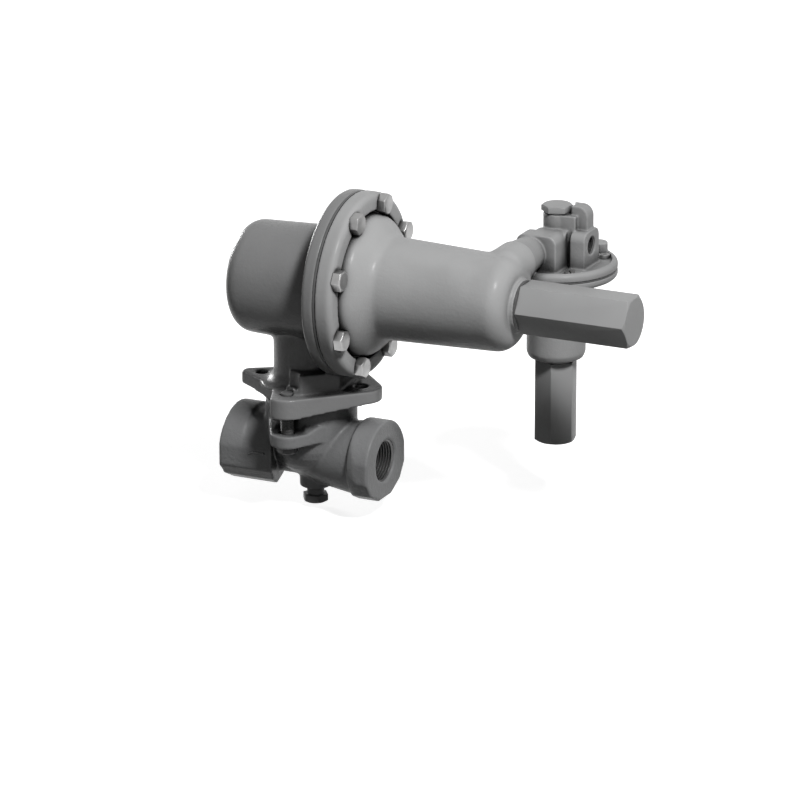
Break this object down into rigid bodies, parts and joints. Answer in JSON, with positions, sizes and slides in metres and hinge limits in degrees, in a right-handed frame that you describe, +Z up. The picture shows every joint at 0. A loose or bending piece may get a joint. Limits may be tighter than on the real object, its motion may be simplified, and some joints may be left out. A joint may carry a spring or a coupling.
{
  "type": "pressure regulator",
  "caption": "Pilot-loaded gas pressure regulator: threaded globe valve body under a side-mounted diaphragm casing with a long spring barrel, and a pilot regulator at its far end.",
  "frame": {"origin": "centre of the inlet port's mouth, on the flow axis", "axes": "+X along the flow from inlet to outlet and along the actuator axis towards the main closing cap, +Z up, +Y away from the viewer"},
  "size_m": [0.326, 0.203, 0.247],
  "materials": {
    "body_casting": "satin enamel over a sand casting",
    "casing_casting": "satin grey enamel over a casting",
    "pilot_casting": "satin grey enamel over a casting",
    "cap_steel": "satin grey enamel on hexagon bar",
    "fastener_steel": "zinc plated",
    "trim_steel": "turned stainless steel",
    "guide_brass": "turned",
    "elastomer": "matt",
    "spring_steel": "oil tempered",
    "seal_fibre": "matt"
  },
  "bodies": {
    "housing": {"valve_body": "body_casting", "seat_ring": "trim_steel", "stem_guide": "guide_brass", "body_seal": "elastomer", "body_cap_screws": "fastener_steel", "drain_plug": "cap_steel", "rear_casing": "casing_casting", "lever_pin": "trim_steel", "diaphragm": "elastomer", "spring_case": "casing_casting", "casing_screws": "fastener_steel", "main_lock_nut": "fastener_steel", "pilot_body": "pilot_casting", "pilot_top_plug": "cap_steel", "top_plug_seal": "seal_fibre", "pilot_seat": "trim_steel", "plug_spring": "spring_steel", "pilot_diaphragm": "elastomer", "pilot_spring_case": "pilot_casting", "pilot_casing_screws": "fastener_steel", "pilot_lock_nut": "fastener_steel"},
    "valve": {"valve_stem": "trim_steel", "stem_pin": "trim_steel", "disc_holder": "trim_steel", "valve_disc": "elastomer"},
    "rocker": {"lever": "trim_steel"},
    "diaphragm_assembly": {"pusher_post": "trim_steel", "post_pin": "trim_steel", "diaphragm_plate": "trim_steel", "diaphragm_head": "trim_steel", "diaphragm_nut": "fastener_steel"},
    "main_seat": {"main_spring_seat": "trim_steel", "main_spring": "spring_steel"},
    "main_screw": {"main_adjusting_screw": "fastener_steel"},
    "main_cap_seal": {"main_cap_gasket": "seal_fibre"},
    "main_cap": {"main_closing_cap": "cap_steel"},
    "pilot_diaphragm_assembly": {"pilot_pusher": "trim_steel", "pilot_diaphragm_plate": "trim_steel", "pilot_pusher_nut": "fastener_steel"},
    "pilot_plug": {"pilot_valve_plug": "trim_steel"},
    "pilot_seat_group": {"pilot_spring_seat": "trim_steel", "pilot_spring": "spring_steel"},
    "pilot_screw": {"pilot_adjusting_screw": "fastener_steel"},
    "pilot_cap_seal": {"pilot_cap_gasket": "seal_fibre"},
    "pilot_cap": {"pilot_closing_cap": "cap_steel"}
  },
  "joints": [
    {"name": "diaphragm_slide", "type": "slide", "parent": "housing", "child": "diaphragm_assembly", "axis": [1, 0, 0], "range_m": [0, 0.009], "stiffness_N_per_m": 9000, "springref_m": -0.01, "deforming": ["diaphragm", "main_spring"]},
    {"name": "lever_swing", "type": "hinge", "parent": "housing", "child": "rocker", "pos_m": [0.044, 0, 0.107], "axis": [0, 1, 0], "range_deg": [0, 17.3]},
    {"name": "valve_slide", "type": "slide", "parent": "housing", "child": "valve", "axis": [0, 0, 1], "range_m": [-0.00541, 0]},
    {"name": "main_seat_travel", "type": "slide", "parent": "housing", "child": "main_seat", "axis": [1, 0, 0], "range_m": [-0.006, 0.006]},
    {"name": "main_screw_turn", "type": "hinge", "parent": "main_seat", "child": "main_screw", "pos_m": [0.2, 0, 0.137], "axis": [1, 0, 0], "range_deg": [-1082, 1082]},
    {"name": "main_cap_travel", "type": "slide", "parent": "housing", "child": "main_cap_seal", "axis": [1, 0, 0], "range_m": [0, 0.0075]},
    {"name": "main_cap_turn", "type": "hinge", "parent": "main_cap_seal", "child": "main_cap", "pos_m": [0.28, 0, 0.137], "axis": [1, 0, 0], "range_deg": [0, 1802]},
    {"name": "pilot_diaphragm_slide", "type": "slide", "parent": "housing", "child": "pilot_diaphragm_assembly", "axis": [0, 0, 1], "range_m": [-0.0015, 0], "stiffness_N_per_m": 6000, "springref_m": 0.004, "deforming": ["pilot_diaphragm", "pilot_spring", "plug_spring"]},
    {"name": "pilot_plug_slide", "type": "slide", "parent": "housing", "child": "pilot_plug", "axis": [0, 0, 1], "range_m": [-0.0015, 0]},
    {"name": "pilot_seat_travel", "type": "slide", "parent": "housing", "child": "pilot_seat_group", "axis": [0, 0, -1], "range_m": [-0.0045, 0.0045]},
    {"name": "pilot_screw_turn", "type": "hinge", "parent": "pilot_seat_group", "child": "pilot_screw", "pos_m": [0.225, 0.087, 0.07], "axis": [0, 0, -1], "range_deg": [-1082, 1082]},
    {"name": "pilot_cap_travel", "type": "slide", "parent": "housing", "child": "pilot_cap_seal", "axis": [0, 0, -1], "range_m": [0, 0.0075]},
    {"name": "pilot_cap_turn", "type": "hinge", "parent": "pilot_cap_seal", "child": "pilot_cap", "pos_m": [0.225, 0.087, 0.04], "axis": [0, 0, -1], "range_deg": [0, 1802]}
  ],
  "couplings": [
    {"joint": "lever_swing", "follows": "diaphragm_slide", "rad_per_m": 33.333},
    {"joint": "valve_slide", "follows": "diaphragm_slide", "ratio": -0.6},
    {"joint": "main_screw_turn", "follows": "main_seat_travel", "rad_per_m": 3141.6},
    {"joint": "main_cap_turn", "follows": "main_cap_travel", "rad_per_m": 4188.8},
    {"joint": "pilot_plug_slide", "follows": "pilot_diaphragm_slide", "ratio": 1},
    {"joint": "pilot_screw_turn", "follows": "pilot_seat_travel", "rad_per_m": 4188.8},
    {"joint": "pilot_cap_turn", "follows": "pilot_cap_travel", "rad_per_m": 4188.8}
  ]
}
